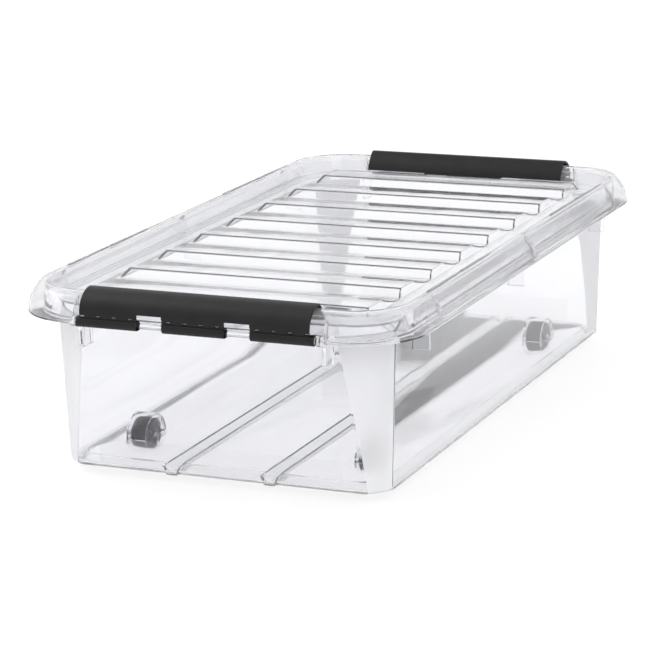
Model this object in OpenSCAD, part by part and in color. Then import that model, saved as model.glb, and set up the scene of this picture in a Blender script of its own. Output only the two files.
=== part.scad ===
// Clear under bed box with a ridged lid, two black carry clips and four small wheels.
// Millimetres, +Z up. X is the width, Y the length with the front at -Y.
// The origin is under the middle of the box, on the ground that the wheels stand on.
// Heights in the modules are measured from the tub's underside and lifted by ground_gap.

/* [Tub] */
// Height of the tub's underside above the ground
ground_gap = 9; // [4:0.5:12]
// Wall and floor thickness
wall = 2; // [1.5:0.1:3]
// Half width of the corner cones' outline at the foot of the walls
foot_half_x = 168; // [150:1:180]
// Half length of the corner cones' outline at the foot of the walls
foot_half_y = 326; // [300:1:340]
// Corner radius at the foot of the walls
foot_radius = 40; // [20:1:60]
// Half width of the corner cones' outline at the top of the walls
head_half_x = 180; // [160:1:190]
// Half length of the corner cones' outline at the top of the walls
head_half_y = 338; // [310:1:350]
// Corner radius at the top of the walls
head_radius = 70; // [40:1:90]
// Radius of the rounded edge at the foot of the walls
foot_round = 4; // [3:0.5:6]
// Height of the raised floor's top face
floor_top = 8.5; // [6:0.5:12]
// Height of the top of the walls
wall_top = 148; // [120:1:160]
// How far the flat walls stand in from the corner cones: sides at the foot and at the top
side_foot_step = 3; // [2:0.5:6]
side_head_step = 9; // [2:0.5:10]
// The same for the two ends
end_foot_step = 5; // [2:0.5:6]
end_head_step = 1.8; // [0.5:0.1:4]
// Thickness of the top flange
flange_thick = 1.8; // [1.5:0.1:4]
// Thickness of the locating wall above the flange
upstand_thick = 2.5; // [1.5:0.1:4]
// Top of the locating wall
upstand_top = 170; // [160:1:172]

/* [Lid] */
// Half width of the lid's skirt
lid_half_x = 200; // [180:1:220]
// Half length of the lid's skirt
lid_half_y = 358.5; // [330:0.5:380]
// Corner radius of the lid's skirt
lid_radius = 68; // [50:1:90]
// Height of the rim's top
rim_top = 176.6; // [170:0.2:182]
// Height of the gutter inside the rim
gutter_top = 160.5; // [156:0.5:165]
// Thickness of the lid's panel
panel_thick = 2.2; // [1.5:0.1:3]
// Height of the ridges' flat tops
crest_top = 167.5; // [164:0.5:172]
// Distance from one ridge to the next
ridge_pitch = 79; // [60:1:95]
// Crest line of the first ridge
first_crest = -291; // [-300:1:-280]
// Number of ridges
ridge_count = 8; // [4:1:10]

/* [Clips] */
// Distance of the hinge rod from the middle of the box
hinge_y = 362; // [358:0.5:368]
// Height of the hinge rod
hinge_z = 152; // [148:0.5:156]
// Radius of the hinge rod
rod_radius = 2.5; // [2:0.1:3]
// Outer radius of the knuckles
knuckle_radius = 5; // [4:0.1:6]
// Half length of the clip's cover
cover_half = 114.5; // [90:0.5:118]
// Radius of the cover's rounded shoulder
cover_radius = 23; // [18:0.5:26]
// Thickness of the clip's skin
clip_wall = 2.2; // [1.6:0.1:3]

/* [Wheels] */
// Wheel radius
wheel_radius = 17; // [14:0.5:18]
// Wheel width over the tread
wheel_width = 17; // [12:0.5:17]
// Height of the axle above the tub's underside
axle_height = 8; // [7:0.5:10]
// Distance of the wheels from the middle, across the box
wheel_x = 119; // [100:0.5:130]
// Distance of the wheels from the middle, along the box
wheel_y = 234; // [200:1:260]
// Axle pin radius
axle_radius = 2; // [1.5:0.1:3]

/* [Hidden] */
$fn = 64;
eps = 0.01;

clear_plastic = [0.86, 0.88, 0.93, 0.45];
black_plastic = [0.06, 0.06, 0.07];
grey_plastic = [0.3, 0.31, 0.33];
steel = [0.7, 0.71, 0.73];

// Facets round each corner of the tapered body
corner_steps = 16;

// Corner centre that all the lid's and flange's rounded corners share
corner_x = lid_half_x - lid_radius;
corner_y = lid_half_y - lid_radius;

// Underside of the lid's panel
underside = gutter_top - panel_thick;

// Locating wall that stands inside the lid's hollow rim
upstand_inner = 50;
upstand_outer = upstand_inner + upstand_thick;

// Recess in the skirt and flange where a clip goes
notch_half = 124;
notch_y = 351.5;
notch_wall = 2;

// Clip bracket ears
ear_inner = 119.2;
ear_thick = 4.6;
rod_running_gap = 0.06;
knuckle_spans = [[-118.5, -56.5], [-31, 31], [56.5, 118.5]];
window_spans = [[-56.5, -31], [31, 56.5]];
window_top = 163;
slot_bottom = 157.2;
slot_pitch = 16.3;

// Clip profile arcs
cover_centre_y = 343.5;
cover_centre_z = 158.6;
cover_foot_z = 154.6;
hook_inner = 33.7;
hook_outer = hook_inner + 2;
hook_meet = 124.6;
hook_end_z = 162.2;
tab_end_z = 161;
tab_half = 46;

// Wheel well
well_half = 9.4;
well_wall = 1.5;
well_radius = 20.3;
well_foot = 1.5;
boss_radius = 4.2;
boss_half = 13.5;
axle_half = 12;
press_gap = 0.02;
snap_slot = 3.4;

runner_x = 50;
runner_half = 9.2;
runner_foot = 5;
runner_bottom = -2;
runner_end = 320.5;
gusset_stations = [-260, 0, 260];
scoop_spans = [[-257, -3], [3, 257]];
full_spans = [[-corner_y, -257], [-3, 3], [257, corner_y]];
rail_spans = [[-256, -174], [-170, -90], [90, 170], [174, 256]];

// ---------- shared shapes ----------

// Rounded rectangle from its half sizes
module rounded(half_x, half_y, radius) {
    square([2 * half_x, 2 * (half_y - radius)], center = true);
    square([2 * (half_x - radius), 2 * half_y], center = true);
    for (sx = [-1, 1])
        for (sy = [-1, 1])
            translate([sx * (half_x - radius), sy * (half_y - radius)])
                circle(r = radius);
}

// Rounded rectangle whose corners turn about the shared corner centres
module ring_outline(radius) {
    rounded(corner_x + radius, corner_y + radius, radius);
}

// 2D profile in (Y, Z) made into a bar along X
module along_x(x0, x1) {
    translate([x0, 0, 0])
        rotate([90, 0, 90])
            linear_extrude(x1 - x0)
                children();
}

// 2D profile in (X, Z) made into a bar along Y
module along_y(y0, y1) {
    translate([0, y1, 0])
        rotate([90, 0, 0])
            linear_extrude(y1 - y0)
                children();
}

// Round bar along X
module pin_x(x0, x1, radius) {
    translate([x0, 0, 0])
        rotate([0, 90, 0])
            cylinder(h = x1 - x0, r = radius);
}

// ---------- tub ----------

// One level of the tapered body: the outline's points, corner by corner
function outline(level) = [
    for (q = [0 : 3])
        for (k = [0 : corner_steps])
            let (a = 90 * (q + k / corner_steps),
                 sx = (q == 0 || q == 3) ? 1 : -1,
                 sy = q < 2 ? 1 : -1)
                [sx * (level[1] - level[3]) + level[3] * cos(a),
                 sy * (level[2] - level[3]) + level[3] * sin(a),
                 level[0]]];

// Closed solid through a list of levels, each [height, half width, half length, corner radius]
module loft(levels) {
    n = 4 * (corner_steps + 1);
    last = len(levels) - 1;
    points = [for (level = levels) each outline(level)];
    sides = [
        for (i = [0 : last - 1])
            for (k = [0 : n - 1])
                let (a = i * n + k, b = i * n + (k + 1) % n)
                    each [[a, a + n, b + n], [a, b + n, b]]];
    polyhedron(points = points,
               faces = concat([[for (k = [0 : n - 1]) k]],
                              sides,
                              [[for (k = [n - 1 : -1 : 0]) last * n + k]]),
               convexity = 4);
}

// Tapered body with cone-shaped corners, shrunk all round by inset
module cone_body(inset, top) {
    round_r = foot_round - (inset > 0 ? 1 : 0);
    loft(concat(
        [for (a = [0 : 15 : 90])
            [inset + round_r * (1 - cos(a)),
             foot_half_x - inset - round_r * (1 - sin(a)),
             foot_half_y - inset - round_r * (1 - sin(a)),
             foot_radius - inset - round_r * (1 - sin(a))]],
        [[wall_top, head_half_x - inset, head_half_y - inset, head_radius - inset],
         [top, head_half_x - inset, head_half_y - inset, head_radius - inset]]));
}

// Section between two flat, leaning walls
module leaning_walls(foot, head, top) {
    polygon([[-foot + 1.8, -5], [foot - 1.8, -5], [foot - 1.8, 0], [foot - 0.5, 0.5],
             [foot, 1.8], [foot, foot_round], [head, wall_top], [head, top],
             [-head, top], [-head, wall_top], [-foot, foot_round], [-foot, 1.8],
             [-foot + 0.5, 0.5], [-foot + 1.8, 0]]);
}

// The flat walls stand in from the cones and meet them in a crease
module walled_body(inset, top) {
    intersection() {
        cone_body(inset, top);
        along_y(-400, 400)
            leaning_walls(foot_half_x - side_foot_step - inset,
                          head_half_x - side_head_step - inset, top + 1);
        along_x(-300, 300)
            leaning_walls(foot_half_y - end_foot_step - inset,
                          head_half_y - end_head_step - inset, top + 1);
    }
}

// Block with sloping sides that follows the foot of the walls; insets are from the flat walls
module plinth(low, low_inset, high, high_inset) {
    half_x = foot_half_x - side_foot_step;
    half_y = foot_half_y - end_foot_step;
    radius = foot_radius - 4;
    loft([[low, half_x - low_inset, half_y - low_inset, radius - low_inset],
          [high, half_x - high_inset, half_y - high_inset, radius - high_inset]]);
}

module flange() {
    translate([0, 0, wall_top - eps])
        linear_extrude(flange_thick + eps)
            difference() {
                ring_outline(lid_radius);
                for (s = [-1, 1])
                    translate([-notch_half, s > 0 ? notch_y : -notch_y - 20])
                        square([2 * notch_half, 20]);
            }
}

module upstand() {
    base = wall_top + flange_thick;
    translate([0, 0, base - eps])
        linear_extrude(upstand_top - base + eps)
            difference() {
                ring_outline(upstand_outer);
                ring_outline(upstand_inner);
            }
}

// Flat gussets that hold the flange on the long sides
module side_gussets() {
    for (y = gusset_stations)
        along_y(y - 1, y + 1)
            polygon([[169.2, 123.5], [186, 123.5], [187.2, 124.7], [187.2, wall_top + 0.5],
                     [169.2, wall_top + 0.5]]);
}

// Two ears with the rod the clip turns on
module clip_bracket() {
    for (x = [-ear_inner - ear_thick, ear_inner])
        along_x(x, x + ear_thick) {
            polygon([[331, 124], [351, 124], [352, 125], [352, 141], [354, 144.5], [364, 147.4],
                     [362, 153], [357, 152], [351.5, 149.8], [331, 149.8]]);
            translate([hinge_y, hinge_z])
                circle(r = knuckle_radius);
        }
    translate([0, hinge_y, hinge_z])
        pin_x(-ear_inner - 0.5, ear_inner + 0.5, rod_radius);
}

// Arched housing over one wheel, with a boss for each end of the axle
module well_outside() {
    half_x = well_half + well_wall;
    half_y = well_radius + well_wall;
    intersection() {
        union() {
            translate([0, 0, axle_height]) {
                pin_x(-half_x, half_x, half_y);
                pin_x(-boss_half, boss_half, boss_radius);
            }
            translate([-half_x, -half_y, well_foot])
                cube([2 * half_x, 2 * half_y, axle_height - well_foot]);
            translate([-boss_half, -boss_radius, well_foot])
                cube([2 * boss_half, 2 * boss_radius, axle_height - well_foot]);
        }
        translate([-boss_half - 1, -half_y - 1, well_foot])
            cube([2 * boss_half + 2, 2 * half_y + 2, 60]);
    }
}

// Room for the wheel, the axle's bore and the snap slot under it
module well_inside() {
    bore_half = axle_half + 0.2;
    translate([0, 0, axle_height]) {
        pin_x(-well_half, well_half, well_radius);
        pin_x(-bore_half, bore_half, axle_radius - press_gap);
    }
    translate([-well_half, -well_radius, -5])
        cube([2 * well_half, 2 * well_radius, axle_height + 5]);
    translate([-bore_half, -snap_slot / 2, -5])
        cube([2 * bore_half, snap_slot, axle_height + 5]);
}

// Channel along the floor that the box slides on, as its outside or its hollow
module runner_bar(inset, top) {
    end = runner_end - inset * 1.75;
    low = runner_bottom + inset;
    half = runner_half - inset;
    foot = runner_foot - inset / 2;
    intersection() {
        along_x(-half - 1, half + 1)
            polygon([[-end, top], [-end, low + 3], [-end + 0.9, low + 0.9], [-end + 3, low],
                     [end - 3, low], [end - 0.9, low + 0.9], [end, low + 3], [end, top]]);
        along_y(-runner_end - 1, runner_end + 1)
            polygon([[-half, top], [-half, 7], [-foot, low + 0.8], [-foot + 0.8, low - 0.1],
                     [foot - 0.8, low - 0.1], [foot, low + 0.8], [half, 7], [half, top]]);
    }
}

module at_wheels() {
    for (sx = [-1, 1])
        for (sy = [-1, 1])
            translate([sx * wheel_x, sy * wheel_y, 0])
                children();
}

// Floor on a plinth, hollow underneath, with the two runner channels
module raised_floor() {
    difference() {
        plinth(1, 7.2, floor_top, 12.4);
        plinth(-1, 8.6, floor_top - wall, 14);
    }
    for (s = [-1, 1])
        translate([s * runner_x, 0, 0])
            runner_bar(0, floor_top - 1);
}

module tub_solid() {
    difference() {
        union() {
            difference() {
                union() {
                    walled_body(0, wall_top + 0.4);
                    flange();
                    side_gussets();
                    mirror([1, 0, 0])
                        side_gussets();
                    clip_bracket();
                    mirror([0, 1, 0])
                        clip_bracket();
                }
                walled_body(wall, wall_top + 30);
                plinth(-1, 8.6, floor_top - wall, 14);
            }
            raised_floor();
            upstand();
            at_wheels()
                well_outside();
        }
        for (s = [-1, 1])
            translate([s * runner_x, 0, 0])
                runner_bar(wall, floor_top + 1);
        at_wheels()
            well_inside();
    }
}

module tub() {
    color(clear_plastic)
        translate([0, 0, ground_gap])
            tub_solid();
}

// ---------- lid ----------

// Everything under the rim's outer face, as (distance from corner centre, height)
skirt_bottom = wall_top + flange_thick;
skirt_out = [[lid_radius, skirt_bottom], [67.2, 156], [65.2, 163], [61.9, 169.5], [58, 174.2],
             [54, rim_top]];
skirt_in = [[53.4, 174.6], [56.8, 172.6], [60.2, 168.6], [63.3, 162.4], [65.2, 155.7],
            [lid_radius - wall, skirt_bottom]];
notch_out = [[notch_y - corner_y, skirt_bottom], [60.5, 156], [59.5, 163], [57.8, 169.5],
             [56, 174], [54, rim_top]];
notch_in = [[52.9, 174.6], [54.2, 172.8], [55.8, 168.9], [57.5, 162.6], [58.5, 155.8],
            [notch_y - corner_y - wall, skirt_bottom]];
// On the long sides the skirt is scooped in above a low lip, between the stations
scoop_out = [[lid_radius, skirt_bottom], [67.6, 153], [63.4, 156], [61.6, 163], [59, 169],
             [56.2, 173.6], [54, rim_top]];
scoop_in = [[53.2, 174.6], [54.4, 172.6], [57.1, 168.3], [59.6, 162.4], [61.5, 154.4],
            [65.7, 151.3], [lid_radius - wall, skirt_bottom]];
// Rim's inner side, from the top down to the panel and back up under the rim
inner_side = [[49.4, rim_top], [48, 175.6], [43.4, gutter_top], [41, gutter_top],
              [41, underside], [45, underside], [49.6, 173.4], [50.6, 174.6]];

module rim_profile() {
    polygon(concat(skirt_out, inner_side, skirt_in));
}

module notch_profile() {
    polygon(concat(notch_out, inner_side, notch_in));
}

// Closes the end of the notch between the two skirt shapes
module notch_end_profile() {
    polygon([[60.3, skirt_bottom], [67.5, skirt_bottom], [66.7, 156], [64.7, 163], [61.4, 169.3],
             [57.6, 173.9], [55.5, 173.9], [57.2, 169.5], [58.9, 163], [59.9, 156]]);
}

module scoop_profile() {
    polygon(concat(scoop_out, inner_side, scoop_in));
}

// Closes the end of a scoop between the two skirt shapes
module scoop_end_profile() {
    polygon([[62, 154.9], [65.9, 151.7], [67.3, 151.7], [66.7, 156], [64.7, 163], [61.4, 169.3],
             [57.6, 173.9], [55.5, 173.9], [58, 168.9], [60.6, 162.7]]);
}

// Stiffening rib inside the hollow rim
module rib_profile() {
    polygon([[53.6, skirt_bottom + 1], [67, skirt_bottom + 1], [64.6, 163], [60, 170.5],
             [56, 174], [53.6, 174.8]]);
}

module rim_corners() {
    for (sx = [0, 1])
        for (sy = [0, 1])
            mirror([sx, 0, 0])
                mirror([0, sy, 0])
                    translate([corner_x, corner_y, 0])
                        rotate_extrude(angle = 90, $fn = 96)
                            rim_profile();
}

module rim_sides() {
    for (sx = [0, 1])
        mirror([sx, 0, 0]) {
            for (span = full_spans)
                along_y(span[0], span[1])
                    translate([corner_x, 0])
                        rim_profile();
            for (span = scoop_spans) {
                along_y(span[0], span[1])
                    translate([corner_x, 0])
                        scoop_profile();
                for (y = [span[0], span[1] - notch_wall])
                    along_y(y, y + notch_wall)
                        translate([corner_x, 0])
                            scoop_end_profile();
            }
            for (y = gusset_stations)
                along_y(y - 0.8, y + 0.8)
                    translate([corner_x, 0])
                        rib_profile();
        }
}

module rim_end() {
    for (sx = [0, 1])
        mirror([sx, 0, 0]) {
            along_x(notch_half, corner_x)
                translate([corner_y, 0])
                    rim_profile();
            along_x(notch_half, notch_half + notch_wall)
                translate([corner_y, 0])
                    notch_end_profile();
        }
    along_x(-notch_half, notch_half)
        translate([corner_y, 0])
            notch_profile();
}

// One ridge: a sloping riser, a flat top and an easy fall to the next riser
module ridge_profile(crest, drop) {
    low = gutter_top + 0.5 - drop;
    high = crest_top - drop;
    last = crest > 250;
    flat_end = crest + (last ? 33 : 32);
    fall = last ? 6 : 34;
    polygon(concat(
        [[crest - 13.5, underside - drop], [crest - 13, low], [crest, high]],
        [for (t = [0 : 0.125 : 1])
            [flat_end + fall * t, low + (high - low) * pow(1 - t, 2.2)]],
        [[flat_end + fall, underside - drop]]));
}

module ridges(drop, inset) {
    intersection() {
        for (i = [0 : ridge_count - 1])
            along_x(-160, 160)
                ridge_profile(first_crest + ridge_pitch * i, drop);
        along_y(-310 + inset, 310)
            polygon([[-145 + inset, underside - 5], [145 - inset, underside - 5],
                     [145 - inset, gutter_top - drop], [141 - inset, crest_top - drop],
                     [-141 + inset, crest_top - drop], [-145 + inset, gutter_top - drop]]);
    }
}

module panel() {
    difference() {
        translate([0, 0, underside])
            linear_extrude(panel_thick)
                ring_outline(42);
        // Fine groove that runs round the foot of the rim
        translate([0, 0, gutter_top - 0.5])
            linear_extrude(1)
                difference() {
                    ring_outline(40.4);
                    ring_outline(39.4);
                }
    }
}

// Low stacking rails along the top of the rim
module rails() {
    for (sx = [-1, 1])
        for (span = rail_spans)
            along_y(span[0], span[1])
                translate([sx * (corner_x + 51.6), rim_top])
                    polygon([[-1.7, -0.2], [1.7, -0.2], [1.2, 1.1], [-1.2, 1.1]]);
}

module lid_solid() {
    difference() {
        union() {
            panel();
            ridges(0, 0);
        }
        ridges(panel_thick, 2);
    }
    rim_corners();
    rim_sides();
    rim_end();
    mirror([0, 1, 0])
        rim_end();
    rails();
}

module lid() {
    color(clear_plastic)
        translate([0, 0, ground_gap])
            lid_solid();
}

// ---------- clips ----------

// Points of an arc about (y, z), from angle a0 to angle a1; 0 points away from the box
function arc(y, z, radius, a0, a1, steps) = [
    for (i = [0 : steps])
        let (a = a0 + (a1 - a0) * i / steps)
            [y + radius * cos(a), z + radius * sin(a)]];

// Angle about the hinge where the hook's arc of this radius reaches a height
function hook_angle(radius, z) = 180 - asin((z - hinge_z) / radius);

// Hook over the rim, rounded shoulder and the upright down to the knuckles.
// The hook is curved about the hinge, so that it swings clear of the rim.
module clip_profile(end_z) {
    cover_inner = cover_radius - clip_wall;
    polygon(concat(
        arc(hinge_y, hinge_z, hook_outer, hook_angle(hook_outer, end_z), hook_meet, 12),
        arc(cover_centre_y, cover_centre_z, cover_radius, 92, 0, 20),
        [[cover_centre_y + cover_radius, cover_foot_z],
         [cover_centre_y + cover_inner, cover_foot_z]],
        arc(cover_centre_y, cover_centre_z, cover_inner, 0, 92, 20),
        arc(hinge_y, hinge_z, hook_inner, hook_meet + 1.5, hook_angle(hook_inner, end_z), 12)));
}

module knuckle(span) {
    mouth = rod_radius + rod_running_gap / 2;
    difference() {
        translate([0, hinge_y, hinge_z])
            pin_x(span[0], span[1], knuckle_radius);
        translate([0, hinge_y, hinge_z])
            pin_x(span[0] - 1, span[1] + 1, rod_radius + rod_running_gap);
        translate([span[0] - 1, hinge_y - mouth, hinge_z - 10])
            cube([span[1] - span[0] + 2, 2 * mouth, 10]);
    }
}

module cover_cuts() {
    for (span = window_spans)
        translate([span[0], hinge_y - 10, hinge_z - 10])
            cube([span[1] - span[0], 20, window_top - hinge_z + 10]);
    for (span = knuckle_spans)
        for (i = [-1.5 : 1 : 1.5])
            translate([(span[0] + span[1]) / 2 + i * slot_pitch - 2, hinge_y - 2, slot_bottom])
                cube([4, 10, 1.6]);
    // Sunk band between the cover and the knuckles
    translate([-cover_half - 1, hinge_y + 3.3, 156.2])
        cube([2 * cover_half + 2, 5, 4.2]);
}

module clip_solid() {
    difference() {
        along_x(-cover_half, cover_half)
            clip_profile(hook_end_z);
        cover_cuts();
    }
    along_x(-tab_half, tab_half)
        intersection() {
            clip_profile(tab_end_z);
            translate([320, 160])
                square([14, 8]);
        }
    for (span = knuckle_spans)
        knuckle(span);
}

module rear_clip() {
    color(black_plastic)
        translate([0, 0, ground_gap])
            clip_solid();
}

module front_clip() {
    color(black_plastic)
        translate([0, 0, ground_gap])
            rotate([0, 0, 180])
                clip_solid();
}

// ---------- wheels ----------

// Wheel section in (radius, width): ribbed tread, thin web and a hub
module wheel_profile() {
    half = wheel_width / 2;
    tread_in = wheel_radius - 3.4;
    hub = 4.6;
    hub_half = half + 0.6;
    bore = axle_radius + 0.05;
    difference() {
        polygon([[bore, -hub_half], [hub, -hub_half], [hub, -1.4], [tread_in, -1.4],
                 [tread_in, -half], [wheel_radius - 1, -half], [wheel_radius, -half + 1],
                 [wheel_radius, half - 1], [wheel_radius - 1, half], [tread_in, half],
                 [tread_in, 1.4], [hub, 1.4], [hub, hub_half], [bore, hub_half]]);
        for (i = [-2 : 2])
            translate([wheel_radius - 0.5, i * 2.4 - 0.35])
                square([1, 0.7]);
    }
}

module wheel(sx, sy) {
    color(grey_plastic)
        translate([sx * wheel_x, sy * wheel_y, ground_gap + axle_height])
            rotate([0, 90, 0])
                rotate_extrude($fn = 96)
                    wheel_profile();
}

module axle(sx, sy) {
    color(steel)
        translate([sx * wheel_x, sy * wheel_y, ground_gap + axle_height])
            pin_x(-axle_half, axle_half, axle_radius);
}

module wheel_fl() { wheel(-1, -1); }
module wheel_fr() { wheel(1, -1); }
module wheel_rl() { wheel(-1, 1); }
module wheel_rr() { wheel(1, 1); }
module axle_fl() { axle(-1, -1); }
module axle_fr() { axle(1, -1); }
module axle_rl() { axle(-1, 1); }
module axle_rr() { axle(1, 1); }

tub();
lid();
front_clip();
rear_clip();
wheel_fl();
wheel_fr();
wheel_rl();
wheel_rr();
axle_fl();
axle_fr();
axle_rl();
axle_rr();
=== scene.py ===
import math

import bmesh
import bpy
from mathutils import Matrix, Vector


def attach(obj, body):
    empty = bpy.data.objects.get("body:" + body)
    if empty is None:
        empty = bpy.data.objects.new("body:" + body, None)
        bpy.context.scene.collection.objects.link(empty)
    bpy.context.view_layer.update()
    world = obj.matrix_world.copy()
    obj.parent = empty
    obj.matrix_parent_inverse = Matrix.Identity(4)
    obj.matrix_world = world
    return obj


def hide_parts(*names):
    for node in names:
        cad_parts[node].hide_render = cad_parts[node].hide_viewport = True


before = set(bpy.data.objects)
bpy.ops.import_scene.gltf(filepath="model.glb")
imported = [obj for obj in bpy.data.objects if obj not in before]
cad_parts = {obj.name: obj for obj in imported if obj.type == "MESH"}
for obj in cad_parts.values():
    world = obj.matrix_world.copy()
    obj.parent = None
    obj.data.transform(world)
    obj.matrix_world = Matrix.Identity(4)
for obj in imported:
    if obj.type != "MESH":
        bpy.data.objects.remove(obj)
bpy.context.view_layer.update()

# ---------- measures, in millimetres ----------

MM = 0.001
GROUND_GAP = 9.0

FOOT = (168.0, 326.0, 40.0)
HEAD = (180.0, 338.0, 70.0)
WALL = 2.0
SIDE_STEP = (3.0, 9.0)
END_STEP = (5.0, 1.8)
FOOT_ROUND = 4.0
FLOOR_TOP = 8.5
PLINTH = (165.0, 321.0, 36.0)
PLINTH_TOP = 6.5
RUNNER_X = 50.0
RUNNER_HALF = 9.2
RUNNER_FOOT = 5.0
RUNNER_BOTTOM = -2.0
RUNNER_END = 320.5
WALL_TOP = 148.0
FLANGE_TOP = 149.8
UPSTAND_TOP = 170.0
GUSSET_HALF = 1.0
# Rings of the tub as (height, inset from the plinth) or (height, distance from the corner
# centre); the flange's third number is how far its notch stands back
PLINTH_UNDER = ((PLINTH_TOP, 14.6), (6.2, 13.9), (5.7, 13.4), (0.6, 9.8), (0.15, 9.4), (0, 8.9))
PLINTH_OVER = ((2, 8.4), (2.2, 8.0), (2.7, 8.2), (7.9, 11.9), (8.35, 12.3), (FLOOR_TOP, 12.9))
FLANGE_EDGE = ((148, 66.8, 0.9), (148.2, 67.7, 0.2), (148.6, 68, 0), (149.2, 68, 0),
               (149.6, 67.7, 0.2), (FLANGE_TOP, 66.8, 0.9))
UPSTAND_EDGE = ((FLANGE_TOP, 53.4), (150.2, 52.7), (151, 52.5), (169, 52.4), (169.8, 51.9),
                (UPSTAND_TOP, 51.2), (169.8, 50.5), (169, 50), (151, 50), (150.2, 49.8),
                (FLANGE_TOP, 49.2))

CORNER_X = 132.0
CORNER_Y = 290.5
NOTCH_HALF = 124.0
NOTCH_Y = 351.5
SCOOP_NEAR = 3.0
SCOOP_FAR = 257.0
SLOPE = 0.4
SCOOP_WALLS = (-257.4, -4.6, 2.6, 255.4)
CLOSING_WALL = 2.0

HINGE_Y = 362.0
HINGE_Z = 152.0
ROD_RADIUS = 2.5
ROD_HALF = 120.5
EAR_SPAN = (119.2, 123.8)
KNUCKLE_RADIUS = 5.0
KNUCKLE_BORE = 2.56
MOUTH_HALF = ROD_RADIUS + 0.03
HOOK_INNER = 33.7
HOOK_OUTER = 35.7
HOOK_END = 162.2
TAB_END = 161.0
TAB_HALF = 46.0
COVER_CENTRE = (343.5, 158.6)
COVER_OUTER = 23.0
COVER_INNER = 20.8
COVER_FOOT = 154.6
COVER_HALF = 114.5
KNUCKLES = ((-118.5, -56.5), (-31.0, 31.0), (56.5, 118.5))
WINDOWS = ((-56.5, -31.0), (31.0, 56.5))
WINDOW_SPAN = (140.0, 163.0)
SLOT_PITCH = 16.3
SLOT_HALF = 2
SLOT_SPAN = (157.2, 158.8)
BAND_SPAN = (156.2, 160.4)
BAND_HALF = 120.0
CLIP_FACE = 372.0

WHEEL_X = 119.0
WHEEL_Y = 234.0
AXLE_Z = 8.0
WELL_FOOT = 1.5
CUT_FOOT = -6
# Rounded ends of a wheel well, as (offset along X, radius of its arch)
WELL_OUTSIDE = ((-10.9, 20.9), (-10.75, 21.4), (-10.3, 21.7), (-9.7, 21.8),
                (9.7, 21.8), (10.3, 21.7), (10.75, 21.4), (10.9, 20.9))
WELL_INSIDE = ((-9.4, 19.6), (-9.1, 20.1), (-8.7, 20.3), (8.7, 20.3), (9.1, 20.1), (9.4, 19.6))
BOSS_HALF = 13.5
BOSS_RADIUS = 4.2
BORE_HALF = 12.2
SNAP_HALF = 1.7
AXLE_HALF = 12.0
AXLE_RADIUS = 1.98
WHEEL_RADIUS = 17.0
WHEEL_HALF = 8.5
GROOVE_PITCH = 2.4
DISC_RADIUS = 15.6
WHEELS = {"fl": (-1, -1), "fr": (1, -1), "rl": (-1, 1), "rr": (1, 1)}

GUTTER_TOP = 160.5
PANEL_THICK = 2.2
CREST_TOP = 167.5
RIDGE_PITCH = 79.0
FIRST_CREST = -291.0
RIDGE_COUNT = 8
RIDGE_HALF = 145
RIDGE_FALL = 2.2
PANEL_REACH = 42.2
RIM_REACH = 44
RAIL_REACH = 51.6
RAIL_HALF = 1.7
STATIONS = (-260.0, 0.0, 260.0)
RAILS = ((-256.0, -174.0), (-170.0, -90.0), (90.0, 170.0), (174.0, 256.0))


# ---------- mesh building ----------

def new_object(name, points, faces, smooth_deg=30.0):
    """Object from points in millimetres above the tub's underside."""
    mesh = bpy.data.meshes.new(name)
    placed = [(x * MM, y * MM, (z + GROUND_GAP) * MM) for x, y, z in points]
    mesh.from_pydata(placed, [], faces)
    bm = bmesh.new()
    bm.from_mesh(mesh)
    bmesh.ops.remove_doubles(bm, verts=bm.verts, dist=1e-6)
    bmesh.ops.recalc_face_normals(bm, faces=bm.faces)
    bm.to_mesh(mesh)
    bm.free()
    obj = bpy.data.objects.new(name, mesh)
    bpy.context.scene.collection.objects.link(obj)
    smooth(obj, smooth_deg)
    return obj


def smooth(obj, degrees):
    """Smooth shading, with edges sharper than the angle kept sharp."""
    mesh = obj.data
    mesh.polygons.foreach_set("use_smooth", [True] * len(mesh.polygons))
    mesh.set_sharp_from_angle(angle=math.radians(degrees))


def loft(name, rings, closed=False, smooth_deg=30.0):
    """Skin through rings of equal length; closed joins the last ring to the first."""
    count = len(rings[0])
    points = [p for ring in rings for p in ring]
    faces = []
    last = len(rings) if closed else len(rings) - 1
    for i in range(last):
        low = i * count
        high = ((i + 1) % len(rings)) * count
        for k in range(count):
            step = (k + 1) % count
            faces.append((low + k, low + step, high + step, high + k))
    if not closed:
        faces.append(tuple(range(count)))
        faces.append(tuple(range((len(rings) - 1) * count, len(rings) * count)))
    return new_object(name, points, faces, smooth_deg)


def prism(name, profile, start, end, axis="x", edge=0.3, smooth_deg=30.0):
    """Profile swept straight along X or Y, with its two end edges rounded off."""
    rings = []
    for at, inset in ((start, edge), (start + edge, 0.0), (end - edge, 0.0), (end, edge)):
        ring = []
        for u, v in shrink(profile, inset):
            ring.append((at, u, v) if axis == "x" else (u, at, v))
        rings.append(ring)
    return loft(name, rings, smooth_deg=smooth_deg)


def shrink(profile, inset):
    """The closed profile moved in along its own normals."""
    if not inset:
        return profile
    count = len(profile)
    area = sum(profile[i][0] * profile[(i + 1) % count][1]
               - profile[(i + 1) % count][0] * profile[i][1] for i in range(count))
    turn = 1.0 if area > 0 else -1.0
    moved = []
    for i, (u, v) in enumerate(profile):
        before, after = profile[i - 1], profile[(i + 1) % count]
        du, dv = after[0] - before[0], after[1] - before[1]
        size = math.hypot(du, dv) or 1.0
        moved.append((u - turn * inset * dv / size, v + turn * inset * du / size))
    return moved


def arc(u, v, radius, start, end, steps):
    """Points of an arc about (u, v), between two angles in degrees."""
    return [(u + radius * math.cos(math.radians(start + (end - start) * i / steps)),
             v + radius * math.sin(math.radians(start + (end - start) * i / steps)))
            for i in range(steps + 1)]


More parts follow.
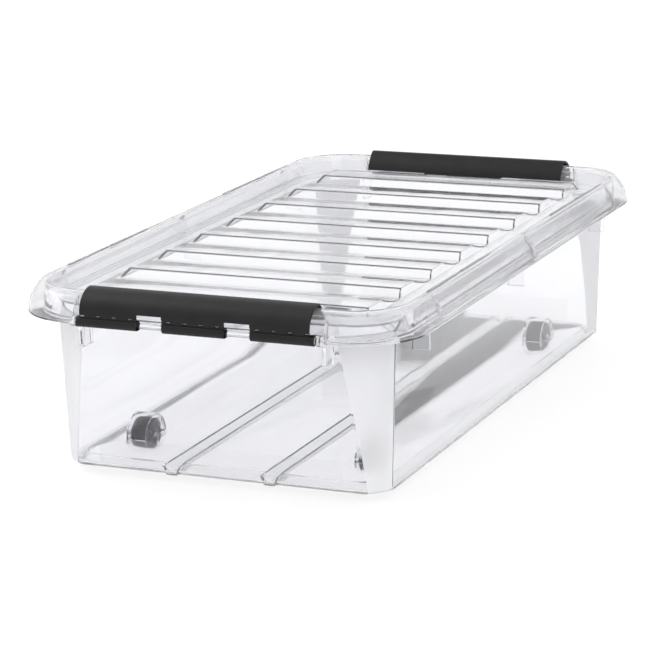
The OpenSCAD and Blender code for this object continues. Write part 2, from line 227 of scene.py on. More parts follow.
def rounded(points, radius, steps=4):
    """Closed polygon with each corner rounded; radius is one number or one per point."""
    out = []
    count = len(points)
    for i, here in enumerate(points):
        size = radius[i] if isinstance(radius, (list, tuple)) else radius
        here = Vector(here)
        back = Vector(points[i - 1]) - here
        ahead = Vector(points[(i + 1) % count]) - here
        angle = back.angle(ahead, math.pi)
        if size <= 0 or angle > math.radians(176):
            out.append(tuple(here))
            continue
        reach = min(size / math.tan(angle / 2), 0.48 * back.length, 0.48 * ahead.length)
        a = here + back.normalized() * reach
        b = here + ahead.normalized() * reach
        for k in range(steps + 1):
            t = k / steps
            out.append(tuple(a * (1 - t) ** 2 + here * 2 * t * (1 - t) + b * t ** 2))
    return out


def cylinder(name, x, y, z, half, radius, edge=0.3, steps=48):
    """Round bar along X about (x, y, z), with rounded ends."""
    circle = arc(y, z, radius, 0, 360 - 360 / steps, steps - 1)
    return prism(name, circle, x - half, x + half, edge=edge, smooth_deg=40)


def combine(target, tools, operation):
    """Boolean on the target's mesh that uses the tools up."""
    for tool in tools:
        step = target.modifiers.new("step", "BOOLEAN")
        step.operation = operation
        step.solver = "EXACT"
        step.object = tool
        graph = bpy.context.evaluated_depsgraph_get()
        result = bpy.data.meshes.new_from_object(target.evaluated_get(graph))
        target.modifiers.clear()
        target.data = result
        bpy.data.objects.remove(tool)


def outline(z, half_x, half_y, radius, steps=(0.0, 0.0), notch=None, scoop=None):
    """Rounded rectangle, counter-clockwise, whose sides and ends stand in by the two steps.

    The creases between flat sides and corners are eased. Notch pulls in the middle of both
    ends, and scoop pulls in the long sides between the stations.
    """
    creases = [math.degrees(math.acos(1 - step / radius)) for step in steps]
    ease = math.degrees(1.0 / radius)
    points = []
    for corner in range(4):
        sx = 1 if corner in (0, 3) else -1
        sy = 1 if corner < 2 else -1
        cx, cy = sx * (half_x - radius), sy * (half_y - radius)
        first = 90 * corner + creases[corner % 2]
        last = 90 * corner + 90 - creases[1 - corner % 2]
        curve = [(cx + radius * math.cos(math.radians(a)), cy + radius * math.sin(math.radians(a)))
                 for a in spaced(first + ease, last - ease, 20)]
        for end, angle in ((0, first), (-1, last)):
            crease = (cx + radius * math.cos(math.radians(angle)),
                      cy + radius * math.sin(math.radians(angle)))
            along_side = (corner % 2 == 0) == (end == 0)
            flat = (crease[0], crease[1] - sy * 1.0) if along_side else (crease[0] - sx * 1.0,
                                                                        crease[1])
            near = curve[end]
            middle = tuple(0.25 * flat[i] + 0.5 * crease[i] + 0.25 * near[i] for i in (0, 1))
            curve = [flat, middle] + curve if end == 0 else curve + [middle, flat]
        points += curve
        if corner % 2 == 0:
            points += end_points(sy, half_y - steps[1], notch)
        else:
            points += side_points(sx, half_x - steps[0], scoop)
    return [(x, y, z) for x, y in points]


def end_points(side, straight, notch):
    """Four points across an end; side is 1 at the rear and -1 at the front."""
    pulled = straight if notch is None else notch
    row = ((NOTCH_HALF + SLOPE, straight), (NOTCH_HALF, pulled),
           (-NOTCH_HALF, pulled), (-NOTCH_HALF - SLOPE, straight))
    return [(side * x, side * y) for x, y in row]


def side_points(side, straight, scoop):
    """Eight points along a long side; side is 1 on the right and -1 on the left."""
    pulled = straight if scoop is None else scoop
    half = ((SCOOP_FAR + SLOPE, straight), (SCOOP_FAR, pulled), (SCOOP_NEAR, pulled),
            (SCOOP_NEAR - SLOPE, straight))
    row = half + tuple((-y, x) for y, x in reversed(half))
    return [(side * x, -side * y) for y, x in row]


def spaced(start, end, steps):
    """Evenly spaced values from start to end, both included."""
    return [start + (end - start) * i / steps for i in range(steps + 1)]


def about_corner(z, radius, notch=None, scoop=None):
    """Outline whose corners turn about the centres that rim and flange share."""
    return outline(z, CORNER_X + radius, CORNER_Y + radius, radius, notch=notch, scoop=scoop)


# ---------- tub ----------

def wall_steps(t):
    """How far sides and ends stand in from the cones, from foot (0) to top (1)."""
    return tuple(low + (high - low) * t for low, high in (SIDE_STEP, END_STEP))


def wall_ring(z, inset, at=None):
    """The leaning wall at one height, between foot and head."""
    t = (z - FOOT_ROUND) / (WALL_TOP - FOOT_ROUND)
    half_x, half_y, radius = (a + (b - a) * t - inset for a, b in zip(FOOT, HEAD))
    return outline(z if at is None else at, half_x, half_y, radius, wall_steps(t))


def foot_rings(inset):
    """The rounded edge at the foot of the wall, from the bottom up."""
    size = FOOT_ROUND - (1 if inset else 0)
    rings = []
    for angle in spaced(0, 90, 12):
        pull = size * (1 - math.sin(math.radians(angle)))
        z = inset + size * (1 - math.cos(math.radians(angle)))
        over = max(0.0, 1.8 - (z - inset))
        bevel = 1.8 - math.sqrt(1.8 ** 2 - over ** 2)
        steps = [max(0.0, step - pull + bevel) for step in wall_steps(0)]
        rings.append(outline(z, *(half - inset - pull for half in FOOT), steps))
    return rings


def plinth_ring(z, inset):
    """Edge of the raised floor at one height."""
    return outline(z, *(half - inset for half in PLINTH))


def tub_shell():
    """The tub as one skin: underside, outer wall, flange, upstand, inner wall and floor."""
    rings = [plinth_ring(z, inset) for z, inset in PLINTH_UNDER]
    rings += foot_rings(0)
    rings += [wall_ring(z, 0) for z in (30, 60, 90, 120, 145.5, 147.2)]
    rings += [about_corner(z, radius, NOTCH_Y - back) for z, radius, back in FLANGE_EDGE]
    rings += [about_corner(z, radius) for z, radius in UPSTAND_EDGE]
    rings += [wall_ring(WALL_TOP, WALL - 0.9, FLANGE_TOP), wall_ring(WALL_TOP, WALL - 0.2, 149.3),
              wall_ring(WALL_TOP, WALL, 148.4)]
    rings += [wall_ring(z, WALL) for z in (120, 90, 60, 30)]
    rings += list(reversed(foot_rings(WALL)))
    rings += [plinth_ring(z, inset) for z, inset in PLINTH_OVER]
    return loft("tub_body", rings, smooth_deg=40)


def bracket(side):
    """Two ears and the rod that a clip turns on."""
    parts = []
    for sx in (-1, 1):
        ear = rounded([(331, 124), (352, 124), (352, 140.5), (354, 145), (363, 147.2),
                       (366.9, 150.2), (366.5, 154.6), (362.5, 157), (358.2, 155.6),
                       (354, 150.6), (351.5, 149.4), (331, 149.4)],
                      [0, 1, 3, 3, 3, 3, 3, 3, 3, 2, 0, 0])
        ear = [(side * u, v) for u, v in ear]
        start, end = sorted(sx * x for x in EAR_SPAN)
        parts.append(prism("ear", ear, start, end, edge=0.5, smooth_deg=35))
    parts.append(cylinder("rod", 0, side * HINGE_Y, HINGE_Z, ROD_HALF, ROD_RADIUS))
    return parts


def gusset(sx, y):
    """Flat gusset under the flange."""
    web = rounded([(169, 123.5), (187.2, 123.5), (187.2, 148.4), (169, 148.4)], [0, 1.2, 0, 0])
    web = [(sx * u, v) for u, v in web]
    return prism("gusset", web, y - GUSSET_HALF, y + GUSSET_HALF, "y", edge=0.3)


def arch(y, radius, foot):
    """Outline of a wheel well, in (Y, Z)."""
    return arc(y, AXLE_Z, radius, 0, 180, 28) + [(y - radius, foot), (y + radius, foot)]


def well_rings(x, y, shape, foot):
    return [[(x + at, u, v) for u, v in arch(y, size, foot)] for at, size in shape]


def well_outside(x, y):
    """Arched housing over a wheel, with the boss that its axle runs through."""
    boss = [(y - BOSS_RADIUS, WELL_FOOT), (y + BOSS_RADIUS, WELL_FOOT)]
    boss += arc(y, AXLE_Z, BOSS_RADIUS, 0, 180, 16)
    return [loft("well", well_rings(x, y, WELL_OUTSIDE, WELL_FOOT), smooth_deg=40),
            prism("boss", boss, x - BOSS_HALF, x + BOSS_HALF, edge=0.6)]


def well_inside(x, y):
    """Room for the wheel, the axle's bore and the slot that the axle snaps in through."""
    snap = [(y - SNAP_HALF, CUT_FOOT), (y + SNAP_HALF, CUT_FOOT),
            (y + SNAP_HALF, AXLE_Z), (y - SNAP_HALF, AXLE_Z)]
    return [loft("room", well_rings(x, y, WELL_INSIDE, CUT_FOOT), smooth_deg=40),
            cylinder("bore", x, y, AXLE_Z, BORE_HALF, AXLE_RADIUS, edge=0),
            prism("snap", snap, x - BORE_HALF, x + BORE_HALF, edge=0)]


def runner(x, inset, top):
    """Channel along the floor that the box slides on, as its outside or its hollow."""
    end, low = RUNNER_END - inset * 1.75, RUNNER_BOTTOM + inset
    half, foot = RUNNER_HALF - inset, RUNNER_FOOT - inset / 2
    profile = rounded([(-half, top), (-half, 7), (-foot, low), (foot, low), (half, 7), (half, top)],
                      [0, 2, 2, 2, 2, 0])
    rings = []
    for y, lift in ((-end, 3), (-end + 0.4, 1.5), (-end + 0.9, 0.9), (-end + 1.7, 0.35),
                    (-end + 3, 0), (end - 3, 0), (end - 1.7, 0.35), (end - 0.9, 0.9),
                    (end - 0.4, 1.5), (end, 3)):
        rings.append([(x + u, y, max(v, low + lift)) for u, v in profile])
    return loft("runner", rings, smooth_deg=35)


def build_tub():
    body = tub_shell()
    outside = bracket(1) + bracket(-1)
    outside += [gusset(sx, y) for sx in (-1, 1) for y in STATIONS]
    outside += [runner(x, 0, FLOOR_TOP - 1) for x in (-RUNNER_X, RUNNER_X)]
    for sx, sy in WHEELS.values():
        outside += well_outside(sx * WHEEL_X, sy * WHEEL_Y)
    combine(body, outside, "UNION")
    combine(body, [runner(x, WALL, FLOOR_TOP + 1) for x in (-RUNNER_X, RUNNER_X)], "DIFFERENCE")
    for sx, sy in WHEELS.values():
        combine(body, well_inside(sx * WHEEL_X, sy * WHEEL_Y), "DIFFERENCE")
    smooth(body, 32)
    return body


# ---------- lid ----------

# Rim section as (distance from the corner centre, height), and its version in the notch
RIM_OUT = [(68, 149.95), (67.75, 153.5), (67.1, 157), (66, 160.5), (64.3, 164.2), (62, 167.8),
           (59.4, 171.4), (57, 174.1), (55.4, 175.6), (54, 176.4), (52.6, 176.6)]
NOTCH_OUT = [(61, 149.95), (60.85, 153.5), (60.5, 157), (60, 160.5), (59.3, 164.2), (58.4, 167.8),
             (57.3, 171.4), (56.2, 174.1), (55.2, 175.6), (54, 176.4), (52.6, 176.6)]
RIM_TOP_IN = [(50.6, 176.6), (49.4, 176.2), (48.5, 175.2), (47.9, 173.8), (44.2, 162.6),
              (43.6, 161.3), (42.8, 160.7), (41.8, GUTTER_TOP), (40.6, GUTTER_TOP)]
RIM_UNDER = [(40.6, 158.3), (43.6, 158.3), (45.1, 158.9), (46, 160.4), (49.7, 172.9),
             (50.3, 174.2), (51.2, 174.6)]
RIM_IN = [(52.8, 174.6), (53.8, 174.2), (55.2, 173), (57.6, 170.2), (60.3, 166.6), (62.4, 163.3),
          (64, 159.8), (65.1, 156.4), (65.7, 153.2), (66, 149.95)]
NOTCH_IN = [(52.8, 174.6), (53.5, 174.2), (54.4, 173), (55.3, 170.2), (56.4, 166.6), (57.3, 163.3),
            (58, 159.8), (58.6, 156.4), (58.85, 153.2), (59, 149.95)]

# Distances of the same outer and inner points where the skirt is scooped
SCOOP_OUT = (68, 67.5, 63.3, 62.2, 61.1, 59.6, 57.7, 56.1, 55, 54, 52.6)
SCOOP_IN = (52.8, 53.3, 54.2, 56, 57.8, 59.2, 60.2, 61.2, 65.3, 66)


def lid_rim():
    """Hollow rim with its skirt, notched at the ends and scooped along the sides."""
    profile = RIM_OUT + RIM_TOP_IN + RIM_UNDER + RIM_IN
    inner = RIM_TOP_IN + RIM_UNDER
    pulled = [r for r, _ in NOTCH_OUT + inner + NOTCH_IN]
    scooped = list(SCOOP_OUT) + [r for r, _ in inner] + list(SCOOP_IN)
    rings = []
    for (radius, z), notch, scoop in zip(profile, pulled, scooped):
        rings.append(about_corner(z, radius, CORNER_Y + notch, CORNER_X + scoop))
    return loft("lid_rim", rings, closed=True, smooth_deg=40)


def notch_end(sx, side):
    """Wall that closes the end of the notch."""
    profile = [(60.3, 150.2), (67, 150.2), (66.3, 157), (63.9, 163.6), (59.2, 170.8),
               (56.4, 174), (55, 174.2), (57, 169.5), (59, 163), (60, 156)]
    profile = [(side * (CORNER_Y + u), v) for u, v in profile]
    start = min(sx * 124.2, sx * 126.2)
    return prism("notch_end", profile, start, start + CLOSING_WALL, edge=0.2)


def scoop_end(sx, y):
    """Wall that closes the end of a scoop."""
    profile = [(61.8, 155.2), (65.4, 152.2), (67.3, 152.2), (66.6, 157), (63.9, 164.2),
               (59.1, 171.2), (56.3, 174), (55, 174), (58, 168.4), (60, 163)]
    profile = [(sx * (CORNER_X + u), v) for u, v in profile]
    return prism("scoop_end", profile, y, y + CLOSING_WALL, "y", edge=0.1)


def rim_rib(sx, y):
    """Rib inside the hollow rim."""
    profile = [(53.6, 150.8), (66.9, 150.8), (66.2, 156), (64.6, 161.4), (61, 167.5), (56, 173.7),
               (53.6, 175)]
    profile = [(sx * (CORNER_X + u), v) for u, v in profile]
    return prism("rim_rib", profile, y - 0.8, y + 0.8, "y", edge=0.15)


def ridge_line(drop):
    """(Y, Z) points along all the ridges, front to rear, each corner a little rounded."""
    low, high = GUTTER_TOP + 0.5 - drop, CREST_TOP - drop
    line = []
    for i in range(RIDGE_COUNT):
        crest = FIRST_CREST + RIDGE_PITCH * i
        last = i == RIDGE_COUNT - 1
        line += [(crest - 13.4, low), (crest - 12.4, low + 0.25), (crest - 0.9, high - 0.35),
                 (crest - 0.3, high - 0.1), (crest + 0.6, high)]
        start, fall = crest + (33 if last else 32), 6.0 if last else 33.2
        for t in spaced(0, 1, 6 if last else 16):
            line.append((start + fall * t, low + (high - low) * (1 - t) ** RIDGE_FALL))
    return line


def ridge_block(drop, inset, foot):
    """Ridged island: rows across the lid, with sloping, softly rounded side ends."""
    rings = []
    for y, z in ridge_line(drop):
        floor_side = RIDGE_HALF - inset
        side = floor_side - (z + drop - GUTTER_TOP) * 4 / 7
        row = [(-floor_side, y, foot), (-floor_side, y, GUTTER_TOP - drop - 0.1),
               (-side - 0.15, y, z - 0.25), (-side + 0.15, y, z - 0.05), (-side + 0.5, y, z)]
        rings.append(row + [(-x, at, h) for x, at, h in reversed(row)])
    return loft("ridges", rings, smooth_deg=34)


def build_lid():
    panel = loft("lid_body", [about_corner(GUTTER_TOP - PANEL_THICK, PANEL_REACH),
                              about_corner(GUTTER_TOP, PANEL_REACH)])
    combine(panel, [ridge_block(0, 0, 159.2)], "UNION")
    combine(panel, [ridge_block(PANEL_THICK, 2, 154.0)], "DIFFERENCE")
    groove = [about_corner(GUTTER_TOP + z, radius)
              for z, radius in ((1, 40.2), (-0.4, 40.0), (-0.4, 39.6), (1, 39.4))]
    combine(panel, [loft("groove", groove, closed=True)], "DIFFERENCE")
    parts = [lid_rim()]
    parts += [notch_end(sx, side) for sx in (-1, 1) for side in (-1, 1)]
    parts += [rim_rib(sx, y) for sx in (-1, 1) for y in STATIONS]
    parts += [scoop_end(sx, y) for sx in (-1, 1) for y in SCOOP_WALLS]
    parts += [rail(sx, span) for sx in (-1, 1) for span in RAILS]
    combine(panel, parts, "UNION")
    smooth(panel, 34)
    return panel


def rail(sx, span):
    """Low stacking rail with round ends, along the top of the rim."""
    x = sx * (CORNER_X + RAIL_REACH)
    loops = []
    for z, half in ((176.2, RAIL_HALF), (177.0, 1.55), (177.5, 1.2), (177.7, 0.6)):
        ends = arc(x, span[1] - RAIL_HALF, half, 0, 180, 12)
        ends += arc(x, span[0] + RAIL_HALF, half, 180, 360, 12)
        loops.append([(u, v, z) for u, v in ends])
    return loft("rail", loops, smooth_deg=60)


# ---------- clips ----------

def clip_section(end_z):
    """Hook over the rim, rounded shoulder and upright, as (distance along Y, height)."""
    def hook(radius, z):
        """Angle about the hinge where an arc of this radius reaches a height."""
        return 180 - math.degrees(math.asin((z - HINGE_Z) / radius))
    points = arc(HINGE_Y, HINGE_Z, HOOK_OUTER, hook(HOOK_OUTER, end_z), 124.6, 14)
    points += arc(*COVER_CENTRE, COVER_OUTER, 92, 0, 28)
    points += [(366.5, COVER_FOOT), (364.3, COVER_FOOT)]
    points += arc(*COVER_CENTRE, COVER_INNER, 0, 92, 28)
    points += arc(HINGE_Y, HINGE_Z, HOOK_INNER, 126.1, hook(HOOK_INNER, end_z), 14)
    return points


def clip_knuckle(side, span):
    """Knuckle round the rod, open at the bottom so that it snaps on."""
    turn = math.degrees(math.asin(MOUTH_HALF / KNUCKLE_RADIUS))
    inner = math.degrees(math.asin(MOUTH_HALF / KNUCKLE_BORE))
    loop = arc(HINGE_Y, HINGE_Z, KNUCKLE_RADIUS, -90 + turn, 270 - turn, 40)
    loop += arc(HINGE_Y, HINGE_Z, KNUCKLE_BORE, 270 - inner, -90 + inner, 24)
    loop = [(side * u, v) for u, v in loop]
    return prism("knuckle", loop, span[0], span[1], edge=0.35)


def box_tool(name, low, high):
    """Plain box between two corners, for cutting."""
    corners = [(low[1], low[2]), (high[1], low[2]), (high[1], high[2]), (low[1], high[2])]
    return prism(name, corners, low[0], high[0], edge=0)


def across(side, low, high):
    """Lowest and highest Y of a span given for the rear clip."""
    return (low, high) if side > 0 else (-high, -low)


def build_clip(name, side):
    section = [(side * u, v) for u, v in clip_section(HOOK_END)]
    body = prism(name, section, -COVER_HALF, COVER_HALF, edge=0.5)
    near, far = across(side, 355.0, CLIP_FACE)
    low, high = WINDOW_SPAN
    cuts = [box_tool("window", (a, near, low), (b, far, high)) for a, b in WINDOWS]
    low, high = SLOT_SPAN
    for a, b in KNUCKLES:
        for i in (-1.5, -0.5, 0.5, 1.5):
            x = (a + b) / 2 + i * SLOT_PITCH
            cuts.append(box_tool("slot", (x - SLOT_HALF, near, low), (x + SLOT_HALF, far, high)))
    near, far = across(side, 365.3, CLIP_FACE)
    low, high = BAND_SPAN
    cuts.append(box_tool("band", (-BAND_HALF, near, low), (BAND_HALF, far, high)))
    combine(body, cuts, "DIFFERENCE")
    tab = [(side * u, v) for u, v in clip_section(TAB_END) if u < 334.0 and v < 172.0]
    parts = [prism("tab", tab, -TAB_HALF, TAB_HALF, edge=0.4)]
    parts += [clip_knuckle(side, span) for span in KNUCKLES]
    combine(body, parts, "UNION")
    smooth(body, 32)
    return body


# ---------- wheels ----------

def lathe_x(name, x, y, z, section, steps=72):
    """Section as (offset along X, radius), turned about an axis along X."""
    points, faces = [], []
    for k in range(steps):
        angle = 2 * math.pi * k / steps
        points += [(x + u, y + r * math.cos(angle), z + r * math.sin(angle)) for u, r in section]
    count = len(section)
    for k in range(steps):
        here, ahead = k * count, ((k + 1) % steps) * count
        for i in range(count):
            j = (i + 1) % count
            faces.append((here + i, here + j, ahead + j, ahead + i))
    return new_object(name, points, faces, 35)


def wheel_section():
    """Grooved tread, dished disc and hub, as (offset along X, radius)."""
    edge = [(WHEEL_HALF, 13.6), (WHEEL_HALF, 15.9), (8.2, 16.6), (7.5, WHEEL_RADIUS)]
    tread = [(-u, r) for u, r in edge]
    for i in (-2, -1, 0, 1, 2):
        middle = i * GROOVE_PITCH
        tread += [(middle - 0.4, WHEEL_RADIUS), (middle - 0.28, 16.55), (middle + 0.28, 16.55),
                  (middle + 0.4, WHEEL_RADIUS)]
    tread += reversed(edge)
    side = [(1.6, 13.3), (1.4, 12.8), (1.4, 5), (1.7, 4.6), (8.8, 4.5), (9.1, 4.1), (9.1, 2.05)]
    other = [(-u, r) for u, r in reversed(side)]
    return tread + side + other


def build_wheel(name, sx, sy):
    x, y = sx * WHEEL_X, sy * WHEEL_Y
    wheel = lathe_x(name, x, y, AXLE_Z, wheel_section())
    spokes = []
    for k in range(6):
        angle = math.radians(60 * k + 15)
        bar = [(4.2, -0.7), (13.9, -0.7), (13.9, 0.7), (4.2, 0.7)]
        turned = [(y + u * math.cos(angle) - v * math.sin(angle),
                   AXLE_Z + u * math.sin(angle) + v * math.cos(angle)) for u, v in bar]
        spokes.append(prism("spoke", turned, x - 7, x + 7, edge=0.25))
    combine(wheel, spokes, "UNION")
    smooth(wheel, 35)
    return wheel


def build_axle(name, sx, sy):
    end = [(AXLE_HALF, 0.0), (AXLE_HALF, 1.5), (11.8, 1.85), (11.5, AXLE_RADIUS)]
    section = [(-u, r) for u, r in end] + end[::-1]
    return lathe_x(name, sx * WHEEL_X, sy * WHEEL_Y, AXLE_Z, section, 32)


# ---------- materials ----------

class Nodes:
    """A material with its Principled shader and short calls to add procedural detail."""

    def __init__(self, name):
        self.material = bpy.data.materials.new(name)
        self.material.use_nodes = True
        self.tree = self.material.node_tree
        self.shader = self.tree.nodes["Principled BSDF"]
        self.place = self.tree.nodes.new("ShaderNodeTexCoord").outputs["Object"]

    def noise(self, scale, detail=3.0, stretch=(1, 1, 1)):
        mapping = self.tree.nodes.new("ShaderNodeMapping")
        mapping.inputs["Scale"].default_value = stretch
        noise = self.tree.nodes.new("ShaderNodeTexNoise")
        noise.inputs["Scale"].default_value = scale
        noise.inputs["Detail"].default_value = detail
        self.tree.links.new(self.place, mapping.inputs["Vector"])
        self.tree.links.new(mapping.outputs["Vector"], noise.inputs["Vector"])
        return noise.outputs["Fac"]

    def spread(self, value, low, high, socket):
        """Maps a 0 to 1 texture to a range, and drives one shader socket with it."""
        node = self.tree.nodes.new("ShaderNodeMapRange")
        node.inputs["From Min"].default_value = 0.3
        node.inputs["From Max"].default_value = 0.7
        node.inputs["To Min"].default_value = low
        node.inputs["To Max"].default_value = high
        self.tree.links.new(value, node.inputs["Value"])
        self.tree.links.new(node.outputs["Result"], self.shader.inputs[socket])

    def tint(self, value, dark, light):
        ramp = self.tree.nodes.new("ShaderNodeValToRGB")
        ramp.color_ramp.elements[0].position = 0.35
        ramp.color_ramp.elements[0].color = (*dark, 1)
        ramp.color_ramp.elements[1].position = 0.65
        ramp.color_ramp.elements[1].color = (*light, 1)
        self.tree.links.new(value, ramp.inputs["Fac"])
        self.tree.links.new(ramp.outputs["Color"], self.shader.inputs["Base Color"])

    def bump(self, value, strength, distance):
        node = self.tree.nodes.new("ShaderNodeBump")
        node.inputs["Strength"].default_value = strength
        node.inputs["Distance"].default_value = distance
        self.tree.links.new(value, node.inputs["Height"])
        self.tree.links.new(node.outputs["Normal"], self.shader.inputs["Normal"])


PLASTIC_IOR = 1.3
FROSTED, MILKY = 1, 2


def clear_material(name, dark, light, rough, clarity):
    """Clear moulded polypropylene with a faint haze and slow waves in its surface."""
    nodes = Nodes(name)
    nodes.shader.inputs["Transmission Weight"].default_value = clarity
    nodes.shader.inputs["IOR"].default_value = PLASTIC_IOR
    nodes.tint(nodes.noise(9.0, 2.0), dark, light)
    nodes.spread(nodes.noise(30.0, 4.0), rough[0], rough[1], "Roughness")
    nodes.bump(nodes.noise(14.0, 2.0, (1, 0.5, 1)), 0.12, 0.004)
    return nodes.material


def black_material():
    """Satin black moulding with a fine spark texture."""
    nodes = Nodes("satin_black")
    nodes.shader.inputs["Specular IOR Level"].default_value = 0.3
    nodes.tint(nodes.noise(60.0, 3.0), (0.004, 0.004, 0.0045), (0.007, 0.007, 0.008))
    nodes.spread(nodes.noise(220.0, 4.0), 0.36, 0.46, "Roughness")
    nodes.bump(nodes.noise(1800.0, 2.0), 0.25, 0.00012)
    return nodes.material


def wheel_material(name, dark, light):
    """Matt plastic with a fine grain."""
    nodes = Nodes(name)
    nodes.shader.inputs["Specular IOR Level"].default_value = 0.25
    nodes.tint(nodes.noise(120.0, 3.0), dark, light)
    nodes.spread(nodes.noise(260.0, 4.0), 0.42, 0.58, "Roughness")
    nodes.bump(nodes.noise(1200.0, 2.0), 0.3, 0.00015)
    return nodes.material


def steel_material():
    nodes = Nodes("pin_steel")
    nodes.shader.inputs["Metallic"].default_value = 1.0
    nodes.tint(nodes.noise(200.0, 3.0, (1, 4, 4)), (0.42, 0.43, 0.45), (0.56, 0.57, 0.59))
    nodes.spread(nodes.noise(500.0, 4.0, (0.2, 1, 1)), 0.25, 0.4, "Roughness")
    nodes.bump(nodes.noise(900.0, 2.0, (0.2, 1, 1)), 0.15, 0.0001)
    return nodes.material


def dress(obj, material, body, node):
    """Gives a piece its material, ties it to its body, and hides the CAD node that it stands in
    for.
    """
    obj.data.materials.clear()
    obj.data.materials.append(material)
    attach(obj, body)
    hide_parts(node)


def beyond_creases(x, y, z):
    """True where the wall is one of the cone-shaped corners."""
    t = min(1.0, max(0.0, (z - FOOT_ROUND) / (WALL_TOP - FOOT_ROUND)))
    half_x, half_y, radius = (a + (b - a) * t for a, b in zip(FOOT, HEAD))
    crease_y, crease_x = (half - radius + math.sqrt(radius ** 2 - (radius - step) ** 2)
                          for half, step in zip((half_y, half_x), wall_steps(t)))
    return y > crease_y + 0.5 and x > crease_x + 0.5


def frost_tub(obj):
    """Frosted corners, and a milky foot and channels; the other faces stay clear."""
    for face in obj.data.polygons:
        x, y, z = (abs(value) / MM for value in face.center)
        z -= GROUND_GAP
        at_wheel = abs(x - WHEEL_X) < 14 and abs(y - WHEEL_Y) < 24
        if 0.2 < z < WALL_TOP - 0.5 and beyond_creases(x, y, z):
            face.material_index = FROSTED
        elif z < FLOOR_TOP - 0.3 and abs(z - PLINTH_TOP) > 0.2 and not at_wheel:
            face.material_index = MILKY


def frost_rim(obj, material):
    """Gives the lid's thicker rim a milky look beside the clear panel."""
    obj.data.materials.append(material)
    for face in obj.data.polygons:
        x, y = abs(face.center.x) / MM, abs(face.center.y) / MM
        reach = math.hypot(max(0.0, x - CORNER_X), max(0.0, y - CORNER_Y))
        if reach > RIM_REACH:
            face.material_index = 1


def paint_disc(obj, material, sy):
    """Lighter disc inside the dark tread."""
    obj.data.materials.append(material)
    for face in obj.data.polygons:
        y = face.center.y / MM - sy * WHEEL_Y
        z = face.center.z / MM - GROUND_GAP - AXLE_Z
        if math.hypot(y, z) < DISC_RADIUS:
            face.material_index = 1


# Clear plastics: darker and lighter tint, roughness range, share of light let through
clear_tub = clear_material("clear_tub", (0.955, 0.956, 0.975), (0.97, 0.971, 0.988),
                           (0.02, 0.05), 0.985)
clear_lid = clear_material("clear_lid", (0.955, 0.956, 0.97), (0.97, 0.971, 0.984),
                           (0.03, 0.07), 0.95)
frosted = clear_material("frosted_corner", (0.965, 0.966, 0.985), (0.98, 0.981, 0.995),
                         (0.3, 0.4), 0.5)
satin_black = black_material()
milky_foot = clear_material("milky_foot", (0.975, 0.976, 0.99), (0.985, 0.986, 0.995),
                            (0.1, 0.16), 0.88)
milky_rim = clear_material("milky_rim", (0.97, 0.971, 0.985), (0.985, 0.986, 0.995),
                           (0.05, 0.1), 0.88)
tread_black = wheel_material("tread_black", (0.001, 0.001, 0.004), (0.002, 0.002, 0.009))
disc_slate = wheel_material("disc_slate", (0.045, 0.044, 0.062), (0.065, 0.063, 0.085))
pin_steel = steel_material()

tub = build_tub()
dress(tub, clear_tub, "tub", "tub")
tub.data.materials.append(frosted)
tub.data.materials.append(milky_foot)
frost_tub(tub)
lid = build_lid()
dress(lid, clear_lid, "lid", "lid")
frost_rim(lid, milky_rim)
dress(build_clip("clip_front", -1), satin_black, "front_clip", "front_clip")
dress(build_clip("clip_rear", 1), satin_black, "rear_clip", "rear_clip")
for key, (sx, sy) in WHEELS.items():
    wheel = "wheel_" + key
    axle = "axle_" + key
    body = build_wheel(wheel + "_body", sx, sy)
    dress(body, tread_black, wheel, wheel)
    paint_disc(body, disc_slate, sy)
    dress(build_axle(axle + "_pin", sx, sy), pin_steel, "tub", axle)


# ---------- stage ----------

def stage_floor():
    mesh = bpy.data.meshes.new("floor")
    reach = 6.0
    mesh.from_pydata([(-reach, -reach, 0), (reach, -reach, 0), (reach, reach, 0),
                      (-reach, reach, 0)], [], [(0, 1, 2, 3)])
    floor = bpy.data.objects.new("floor", mesh)
    bpy.context.scene.collection.objects.link(floor)
    nodes = Nodes("pale_floor")
    nodes.tint(nodes.noise(3.0), (0.24, 0.24, 0.24), (0.26, 0.26, 0.26))
    nodes.shader.inputs["Roughness"].default_value = 0.9
    nodes.shader.inputs["Emission Color"].default_value = (1, 1, 1, 1)
    nodes.shader.inputs["Emission Strength"].default_value = 0.76
    mesh.materials.append(nodes.material)


def area_light(name, place, target, size, power):
    data = bpy.data.lights.new(name, "AREA")
    data.shape = "RECTANGLE"
    data.size, data.size_y = size
    data.energy = power
    light = bpy.data.objects.new(name, data)
    light.location = place
    light.rotation_euler = (Vector(target) - Vector(place)).to_track_quat("-Z", "Y").to_euler()
    bpy.context.scene.collection.objects.link(light)


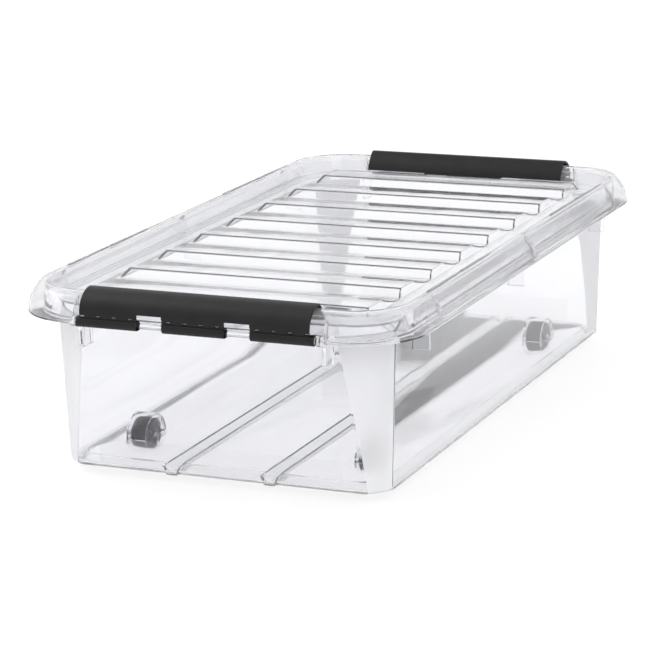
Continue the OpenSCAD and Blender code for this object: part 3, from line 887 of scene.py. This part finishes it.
def studio_world():
    """White high up, and a faint cool grey below."""
    world = bpy.data.worlds.new("studio")
    world.use_nodes = True
    bpy.context.scene.world = world
    tree = world.node_tree
    shade = tree.nodes["Background"]
    place = tree.nodes.new("ShaderNodeTexCoord")
    split = tree.nodes.new("ShaderNodeSeparateXYZ")
    ramp = tree.nodes.new("ShaderNodeValToRGB")
    ramp.color_ramp.elements[0].position = 0.55
    ramp.color_ramp.elements[0].color = (0.87, 0.875, 0.895, 1)
    ramp.color_ramp.elements[1].position = 0.78
    ramp.color_ramp.elements[1].color = (1, 1, 1, 1)
    remap = tree.nodes.new("ShaderNodeMapRange")
    remap.inputs["From Min"].default_value = -1
    remap.inputs["From Max"].default_value = 1
    tree.links.new(place.outputs["Generated"], split.inputs["Vector"])
    tree.links.new(split.outputs["Z"], remap.inputs["Value"])
    tree.links.new(remap.outputs["Result"], ramp.inputs["Fac"])
    tree.links.new(ramp.outputs["Color"], shade.inputs["Color"])
    shade.inputs["Strength"].default_value = 1.0


def aim_camera():
    """Camera from its azimuth, elevation, roll, distance and target."""
    azimuth, elevation, roll = math.radians(23.55), math.radians(14.4), math.radians(-1.43)
    target = Vector((-0.040, 0.02362, 0.06399))
    distance = 2.84836
    back = Vector((math.sin(azimuth) * math.cos(elevation),
                   -math.cos(azimuth) * math.cos(elevation), math.sin(elevation)))
    right = (-back).cross(Vector((0, 0, 1))).normalized()
    up = right.cross(-back)
    turned_right = right * math.cos(roll) + up * math.sin(roll)
    turned_up = up * math.cos(roll) - right * math.sin(roll)
    data = bpy.data.cameras.new("camera")
    data.sensor_width = 36.0
    data.lens = 149.9
    data.clip_end = 50.0
    camera = bpy.data.objects.new("camera", data)
    matrix = Matrix((turned_right, turned_up, back)).transposed().to_4x4()
    matrix.translation = target + back * distance
    camera.matrix_world = matrix
    bpy.context.scene.collection.objects.link(camera)
    bpy.context.scene.camera = camera


stage_floor()
studio_world()
area_light("key", (-2.4, -0.6, 2.6), (0, 0, 0.1), (2.4, 1.6), 30)
area_light("fill", (1.8, -2.2, 2.2), (0, 0, 0.1), (1.6, 1.2), 14)
aim_camera()

BOUNCES = 24
scene = bpy.context.scene
scene.view_settings.view_transform = "Standard"
scene.cycles.max_bounces = BOUNCES
scene.cycles.transmission_bounces = BOUNCES
scene.cycles.transparent_max_bounces = BOUNCES
